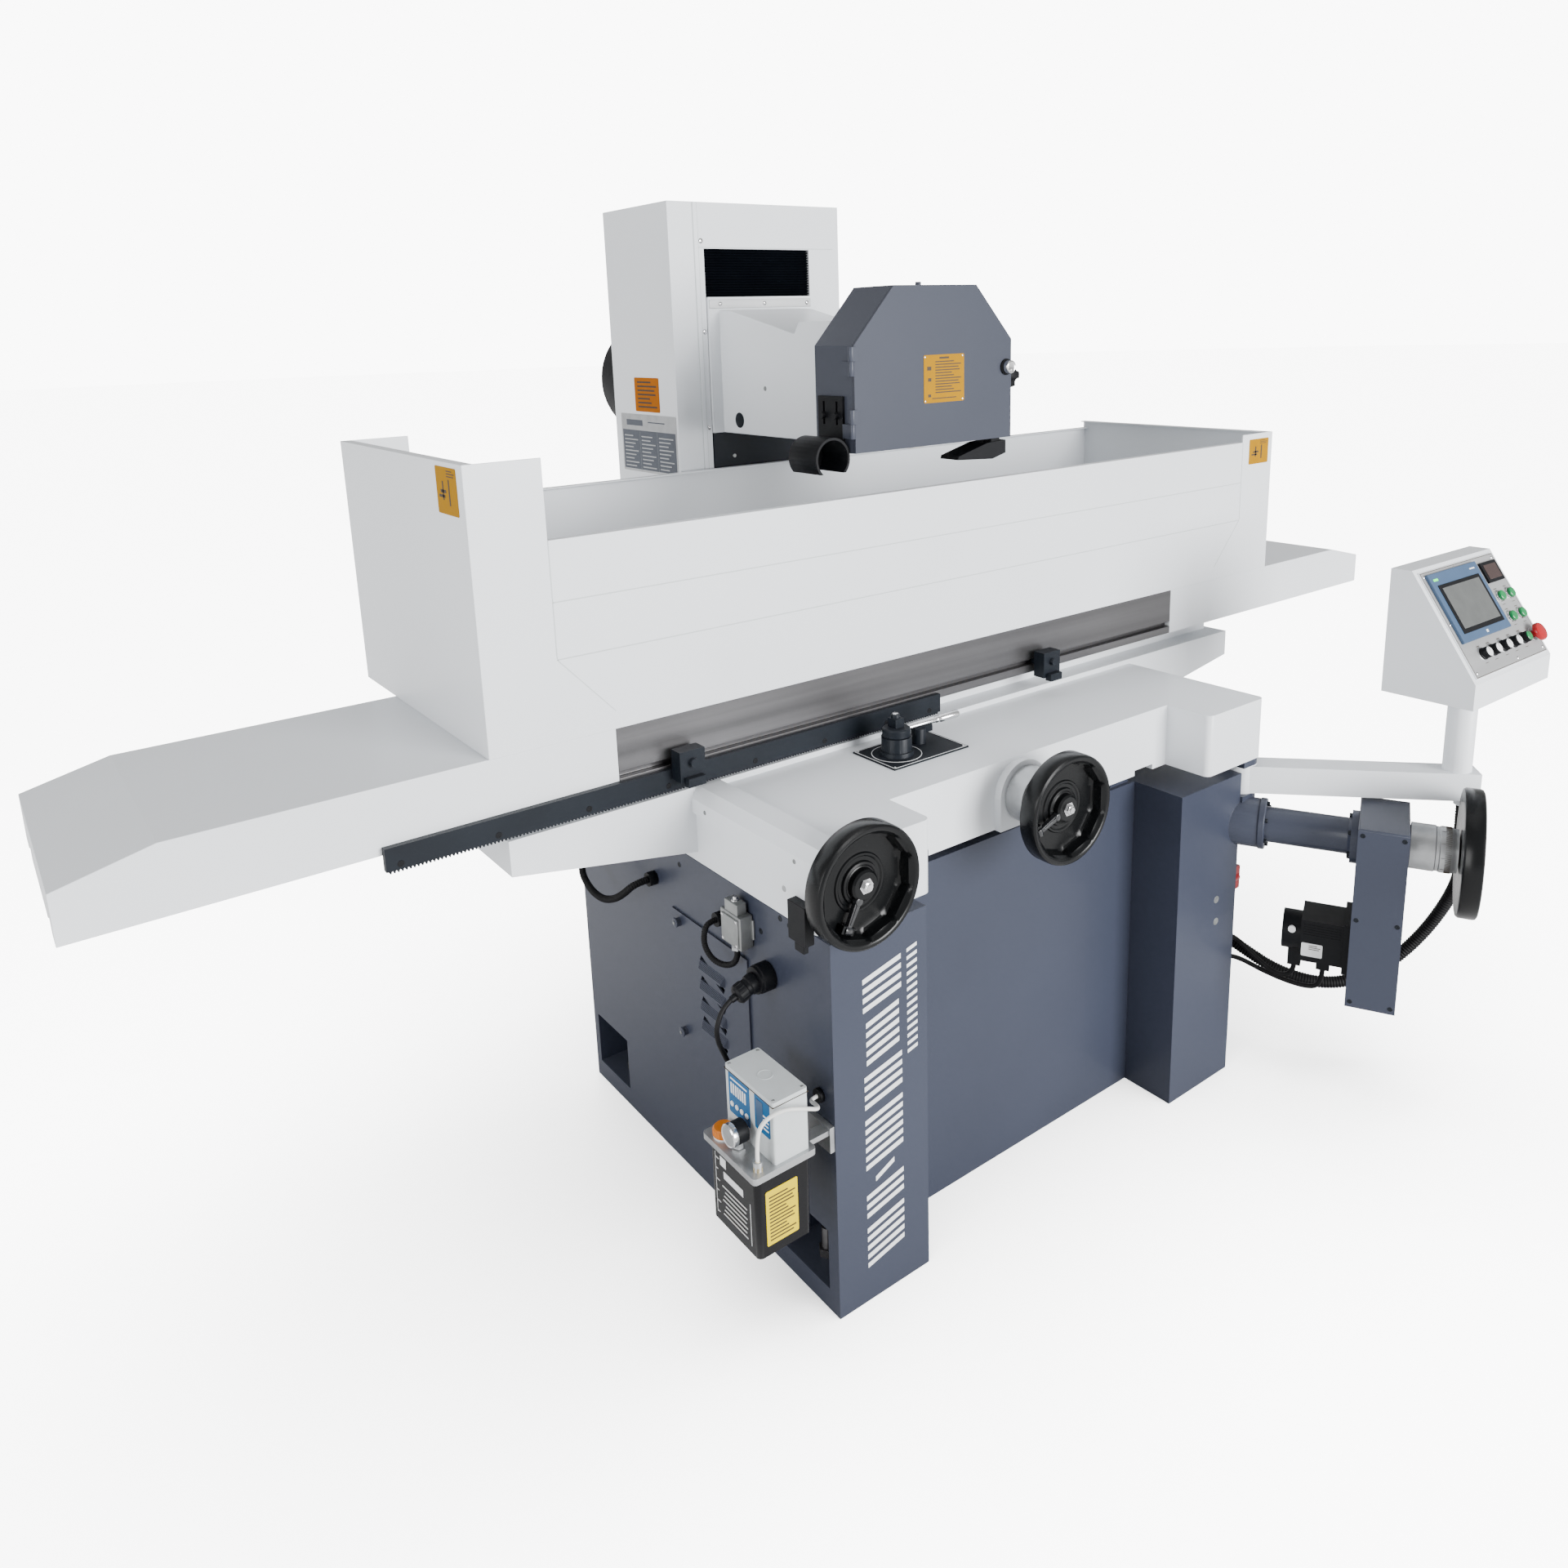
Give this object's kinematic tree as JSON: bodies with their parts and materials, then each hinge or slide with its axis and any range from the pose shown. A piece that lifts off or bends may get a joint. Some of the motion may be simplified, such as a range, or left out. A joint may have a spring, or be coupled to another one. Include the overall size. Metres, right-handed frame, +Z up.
{
  "type": "surface grinder",
  "caption": "Surface grinder: saddle-mounted reciprocating table with splash guard, column-mounted wheel head, handwheels and a swinging control console.",
  "frame": {"origin": "on the floor, on the middle line of the base and 0.228 m behind the front edge of the table at rest", "axes": "+X right along the table, +Y from the operator to the column, +Z up"},
  "size_m": [3.27, 2.0316, 2.046],
  "materials": {
    "white_paint": "satin",
    "slate_paint": "satin",
    "guard_paint": "satin",
    "dark_metal": "matte",
    "ground_steel": "brushed",
    "cast_iron": "matte",
    "aluminium": "satin",
    "black_plastic": "gloss",
    "white_plastic": "matte",
    "smoked_plastic": "gloss",
    "green_plastic": "gloss",
    "red_plastic": "gloss",
    "rubber": "matte",
    "white_pvc": "satin",
    "abrasive": "matte"
  },
  "bodies": {
    "base": {"base_casting": "slate_paint", "column": "white_paint", "access_cover": "slate_paint", "levelling_feet": "ground_steel", "elevating_gearbox": "slate_paint", "servo_motor": "black_plastic", "limit_switch": "aluminium", "wall_socket": "black_plastic", "lubricator_tank": "smoked_plastic", "lubricator_lid": "aluminium", "lubricator_box": "white_plastic", "cable_glands": "black_plastic", "lubricator_cable": "rubber", "oil_pipe": "white_pvc", "conduits": "rubber", "servo_cables": "rubber", "console_hose": "rubber"},
    "saddle": {"saddle_casting": "white_paint", "reversing_valve": "dark_metal", "trip_block": "black_plastic"},
    "table": {"table_casting": "ground_steel", "magnetic_chuck": "ground_steel", "guard_tray": "white_paint", "guard_front": "white_paint", "table_covers": "white_paint", "rack": "dark_metal"},
    "left_dog": {"left_trip_dog": "dark_metal"},
    "right_dog": {"right_trip_dog": "dark_metal"},
    "head": {"head_casting": "white_paint", "head_skirt": "dark_metal", "spindle_motor": "dark_metal", "wheel_guard": "guard_paint", "coolant_nozzle": "black_plastic", "column_bellows": "rubber"},
    "spindle_body": {"spindle": "ground_steel", "grinding_wheel": "abrasive"},
    "door": {"guard_door": "guard_paint"},
    "latch": {"guard_latch": "ground_steel"},
    "table_wheel": {"table_handwheel": "black_plastic"},
    "cross_wheel": {"cross_handwheel": "black_plastic", "cross_screw": "ground_steel"},
    "elevating_wheel": {"elevating_handwheel": "black_plastic"},
    "table_grip": {"table_handle": "black_plastic"},
    "cross_grip": {"cross_handle": "black_plastic"},
    "elevating_grip": {"elevating_handle": "black_plastic"},
    "lift_screw": {"elevating_screw": "ground_steel"},
    "valve_lever": {"reversing_lever": "ground_steel"},
    "isolator": {"main_switch": "red_plastic"},
    "arm": {"console_arm": "white_paint"},
    "panel": {"console": "white_paint"},
    "button_1": {"push_button_1": "green_plastic"},
    "button_2": {"push_button_2": "green_plastic"},
    "button_3": {"push_button_3": "green_plastic"},
    "button_4": {"push_button_4": "green_plastic"},
    "knob_1": {"selector_knob_1": "black_plastic"},
    "knob_2": {"selector_knob_2": "black_plastic"},
    "knob_3": {"selector_knob_3": "black_plastic"},
    "knob_4": {"selector_knob_4": "black_plastic"},
    "lit_knob": {"lit_selector": "green_plastic"},
    "stop_button": {"emergency_stop": "red_plastic"}
  },
  "joints": [
    {"name": "cross_feed", "type": "slide", "parent": "base", "child": "saddle", "axis": [0, 1, 0], "range_m": [-0.38, 0.012]},
    {"name": "table_traverse", "type": "slide", "parent": "saddle", "child": "table", "axis": [1, 0, 0], "range_m": [-0.45, 0.45]},
    {"name": "left_dog_slide", "type": "slide", "parent": "table", "child": "left_dog", "axis": [1, 0, 0], "range_m": [-0.08, 0.3]},
    {"name": "right_dog_slide", "type": "slide", "parent": "table", "child": "right_dog", "axis": [1, 0, 0], "range_m": [-0.3, 0.35]},
    {"name": "head_lift", "type": "slide", "parent": "base", "child": "head", "axis": [0, 0, 1], "range_m": [-0.07, 0.08], "deforming": ["column_bellows"]},
    {"name": "wheel_spin", "type": "hinge", "parent": "head", "child": "spindle_body", "pos_m": [0, -0.11, 1.63], "axis": [0, 1, 0], "continuous": true},
    {"name": "door_hinge", "type": "hinge", "parent": "head", "child": "door", "pos_m": [-0.2225, -0.193, 1.6], "axis": [0, 0, -1], "range_deg": [0, 110]},
    {"name": "latch_turn", "type": "hinge", "parent": "door", "child": "latch", "pos_m": [0.2, -0.194, 1.665], "axis": [0, 1, 0], "range_deg": [0, 90]},
    {"name": "table_wheel_turn", "type": "hinge", "parent": "saddle", "child": "table_wheel", "pos_m": [-0.566, -0.62, 0.878], "axis": [0, -1, 0], "range_deg": [-1620, 1620]},
    {"name": "cross_wheel_turn", "type": "hinge", "parent": "saddle", "child": "cross_wheel", "pos_m": [-0.06, -0.6, 0.864], "axis": [0, 1, 0], "range_deg": [-27400, 900]},
    {"name": "elevating_wheel_turn", "type": "hinge", "parent": "base", "child": "elevating_wheel", "pos_m": [0.8076, -0.9424, 0.629], "axis": [0.454, -0.891, 0], "range_deg": [-12700, 14500]},
    {"name": "lift_screw_turn", "type": "hinge", "parent": "base", "child": "lift_screw", "pos_m": [0.187, 0.649, 0.9], "axis": [0, 0, 1], "range_deg": [-5100, 5800]},
    {"name": "table_handle_fold", "type": "hinge", "parent": "table_wheel", "child": "table_grip", "pos_m": [-0.60262, -0.621, 0.80913], "axis": [0.8829, 0, -0.4695], "range_deg": [0, 85]},
    {"name": "cross_handle_fold", "type": "hinge", "parent": "cross_wheel", "child": "cross_grip", "pos_m": [-0.1333, -0.606, 0.83732], "axis": [0.342, 0, -0.9397], "range_deg": [0, 85]},
    {"name": "elevating_handle_fold", "type": "hinge", "parent": "elevating_wheel", "child": "elevating_grip", "pos_m": [0.86524, -0.9366, 0.72253], "axis": [-0.7716, -0.3932, 0.5], "range_deg": [0, 85]},
    {"name": "valve_lever_turn", "type": "hinge", "parent": "saddle", "child": "valve_lever", "pos_m": [-0.235, -0.325, 0.98], "axis": [0, 0, 1], "range_deg": [-15, 15]},
    {"name": "isolator_turn", "type": "hinge", "parent": "base", "child": "isolator", "pos_m": [0.6, -0.535, 0.48], "axis": [1, 0, 0], "range_deg": [0, 90]},
    {"name": "arm_swing", "type": "hinge", "parent": "base", "child": "arm", "pos_m": [0.628, -0.528, 0.72], "axis": [0, 0, 1], "range_deg": [0, 45]},
    {"name": "console_swivel", "type": "hinge", "parent": "arm", "child": "panel", "pos_m": [0.94, -0.866, 0.95], "axis": [0, 0, 1], "range_deg": [-45, 45]},
    {"name": "button_1_press", "type": "slide", "parent": "panel", "child": "button_1", "axis": [0, -0.8249, 0.5652], "range_m": [-0.004, 0], "stiffness_N_per_m": 600, "springref_m": 0.0008},
    {"name": "button_2_press", "type": "slide", "parent": "panel", "child": "button_2", "axis": [0, -0.8249, 0.5652], "range_m": [-0.004, 0], "stiffness_N_per_m": 600, "springref_m": 0.0008},
    {"name": "button_3_press", "type": "slide", "parent": "panel", "child": "button_3", "axis": [0, -0.8249, 0.5652], "range_m": [-0.004, 0], "stiffness_N_per_m": 600, "springref_m": 0.0008},
    {"name": "button_4_press", "type": "slide", "parent": "panel", "child": "button_4", "axis": [0, -0.8249, 0.5652], "range_m": [-0.004, 0], "stiffness_N_per_m": 600, "springref_m": 0.0008},
    {"name": "knob_1_turn", "type": "hinge", "parent": "panel", "child": "knob_1", "pos_m": [0.845, -0.93209, 1.05566], "axis": [0, -0.8249, 0.5652], "range_deg": [-45, 45]},
    {"name": "knob_2_turn", "type": "hinge", "parent": "panel", "child": "knob_2", "pos_m": [0.888, -0.93209, 1.05566], "axis": [0, -0.8249, 0.5652], "range_deg": [-45, 45]},
    {"name": "knob_3_turn", "type": "hinge", "parent": "panel", "child": "knob_3", "pos_m": [0.936, -0.93209, 1.05566], "axis": [0, -0.8249, 0.5652], "range_deg": [-45, 45]},
    {"name": "knob_4_turn", "type": "hinge", "parent": "panel", "child": "knob_4", "pos_m": [0.982, -0.93209, 1.05566], "axis": [0, -0.8249, 0.5652], "range_deg": [-45, 45]},
    {"name": "lit_knob_turn", "type": "hinge", "parent": "panel", "child": "lit_knob", "pos_m": [1.03, -0.93209, 1.05566], "axis": [0, -0.8249, 0.5652], "range_deg": [-45, 45]},
    {"name": "stop_press", "type": "slide", "parent": "panel", "child": "stop_button", "axis": [0, -0.8249, 0.5652], "range_m": [-0.006, 0], "stiffness_N_per_m": 900, "springref_m": 0.0008}
  ],
  "couplings": [
    {"joint": "table_wheel_turn", "follows": "table_traverse", "rad_per_m": 62.832},
    {"joint": "cross_wheel_turn", "follows": "cross_feed", "rad_per_m": 1256.6},
    {"joint": "elevating_wheel_turn", "follows": "head_lift", "rad_per_m": 3141.6},
    {"joint": "lift_screw_turn", "follows": "head_lift", "rad_per_m": 1256.6}
  ]
}
